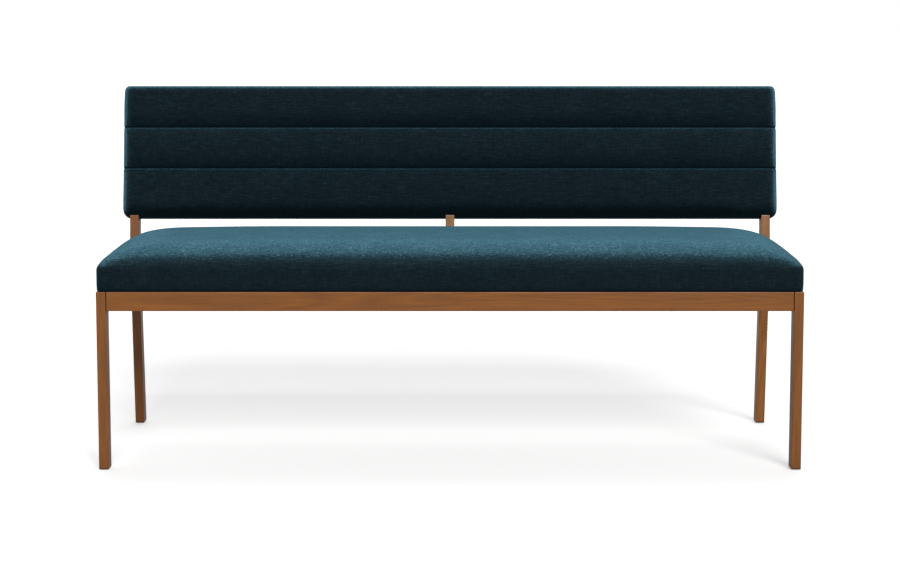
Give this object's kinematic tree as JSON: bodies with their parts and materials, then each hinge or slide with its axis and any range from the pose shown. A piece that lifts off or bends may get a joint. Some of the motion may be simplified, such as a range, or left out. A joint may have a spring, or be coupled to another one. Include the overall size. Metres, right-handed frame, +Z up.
{
  "type": "upholstered banquette bench",
  "caption": "Armless upholstered banquette bench: mortised wooden frame with raked back posts, a crowned seat pad and a back pad with level sewn channels.",
  "frame": {"origin": "on the floor, in the middle of the bench's width and depth", "axes": "+X along the bench to the right as one faces it, +Y from the front to the back, +Z up"},
  "size_m": [1.554, 0.6026, 0.8137],
  "materials": {
    "stained_wood": "satin, straight grain, mid brown stain",
    "pale_wood": "sawn softwood, unfinished",
    "plywood": "unfinished plywood",
    "upholstery": "woven, dark teal with fine slubs",
    "foam": "open-cell foam",
    "dust_cloth": "thin black cloth",
    "zinc_screws": "zinc plated",
    "glide_nylon": "matte"
  },
  "bodies": {
    "root": {"front_leg_left": "stained_wood", "front_leg_right": "stained_wood", "rear_leg_left": "stained_wood", "rear_leg_right": "stained_wood", "leg_glides": "glide_nylon", "front_rail": "stained_wood", "rear_rail": "stained_wood", "side_rail_left": "stained_wood", "side_rail_right": "stained_wood", "bearer_left": "pale_wood", "bearer_centre": "pale_wood", "bearer_right": "pale_wood", "corner_block_front_left": "pale_wood", "corner_block_front_right": "pale_wood", "corner_block_rear_left": "pale_wood", "corner_block_rear_right": "pale_wood", "corner_block_screws": "zinc_screws", "seat_fixing_screws": "zinc_screws", "back_post_centre": "stained_wood", "centre_post_screws": "zinc_screws", "seat_board": "plywood", "seat_foam": "foam", "seat_cover": "upholstery", "seat_dust_cover": "dust_cloth", "back_board": "plywood", "back_top_batten": "pale_wood", "back_bottom_batten_left": "pale_wood", "back_bottom_batten_right": "pale_wood", "back_end_batten_left": "pale_wood", "back_end_batten_right": "pale_wood", "back_board_screws": "zinc_screws", "back_foam": "foam", "back_cover": "upholstery", "back_outer_board": "plywood", "back_outer_cover": "upholstery"}
  },
  "joints": []
}
